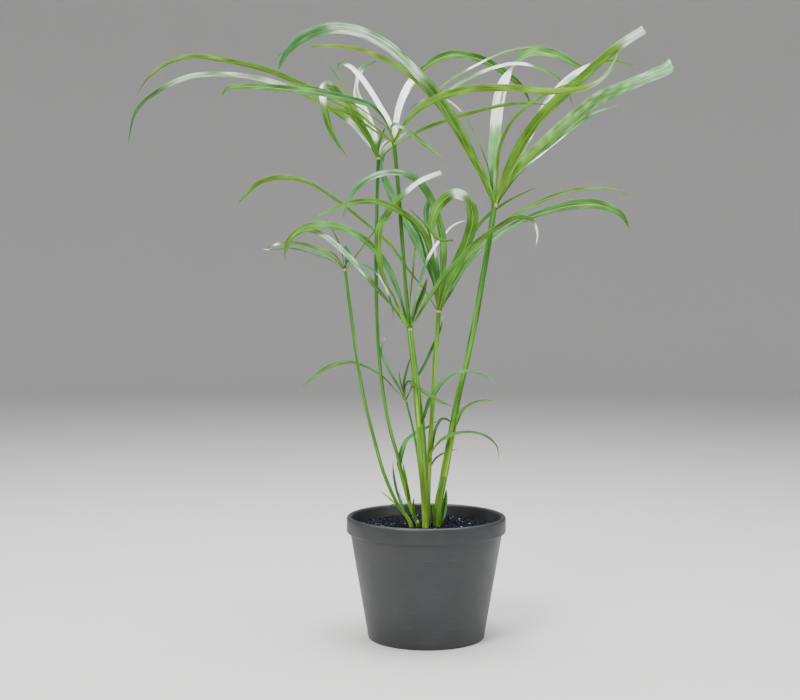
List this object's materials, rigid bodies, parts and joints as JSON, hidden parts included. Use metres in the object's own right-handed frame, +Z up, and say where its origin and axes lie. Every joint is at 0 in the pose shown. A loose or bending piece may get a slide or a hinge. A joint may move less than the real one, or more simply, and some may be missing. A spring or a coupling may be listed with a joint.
{
  "type": "potted umbrella sedge",
  "caption": "Umbrella sedge: slender green stems, each topped by a whorl of long arching leaf-like bracts, rooted in dark gravel in a plain round pot.",
  "frame": {"origin": "centre of the pot's flat base, on the surface that it stands on", "axes": "+Z up along the pot's axis, +X to the right and -Y towards the viewer in the picture's view"},
  "size_m": [0.4286, 0.261, 0.4509],
  "materials": {
    "pot": "moulded, satin",
    "gravel": "small angular grains",
    "stem": "smooth, faintly ribbed",
    "bract": "glossy, with fine parallel veins"
  },
  "bodies": {
    "root": {"bract_left_short_1": "bract", "bract_left_short_2": "bract", "bract_left_short_3": "bract", "bract_left_short_4": "bract", "bract_left_short_5": "bract", "bract_left_short_6": "bract", "bract_left_short_7": "bract", "bract_left_tall_1": "bract", "bract_left_tall_2": "bract", "bract_left_tall_3": "bract", "bract_left_tall_4": "bract", "bract_left_tall_5": "bract", "bract_left_tall_6": "bract", "bract_left_tall_7": "bract", "bract_middle_short_1": "bract", "bract_middle_short_10": "bract", "bract_middle_short_11": "bract", "bract_middle_short_2": "bract", "bract_middle_short_3": "bract", "bract_middle_short_4": "bract", "bract_middle_short_5": "bract", "bract_middle_short_6": "bract", "bract_middle_short_7": "bract", "bract_middle_short_8": "bract", "bract_middle_short_9": "bract", "bract_middle_tall_1": "bract", "bract_middle_tall_10": "bract", "bract_middle_tall_2": "bract", "bract_middle_tall_3": "bract", "bract_middle_tall_4": "bract", "bract_middle_tall_5": "bract", "bract_middle_tall_6": "bract", "bract_middle_tall_7": "bract", "bract_middle_tall_8": "bract", "bract_middle_tall_9": "bract", "bract_right_tall_1": "bract", "bract_right_tall_10": "bract", "bract_right_tall_2": "bract", "bract_right_tall_3": "bract", "bract_right_tall_4": "bract", "bract_right_tall_5": "bract", "bract_right_tall_6": "bract", "bract_right_tall_7": "bract", "bract_right_tall_8": "bract", "bract_right_tall_9": "bract", "gravel": "gravel", "pot": "pot", "stem_far_left_short": "stem", "stem_left_short": "stem", "stem_left_tall": "stem", "stem_little": "stem", "stem_middle_short": "stem", "stem_middle_tall": "stem", "stem_right_tall": "stem"}
  },
  "joints": []
}
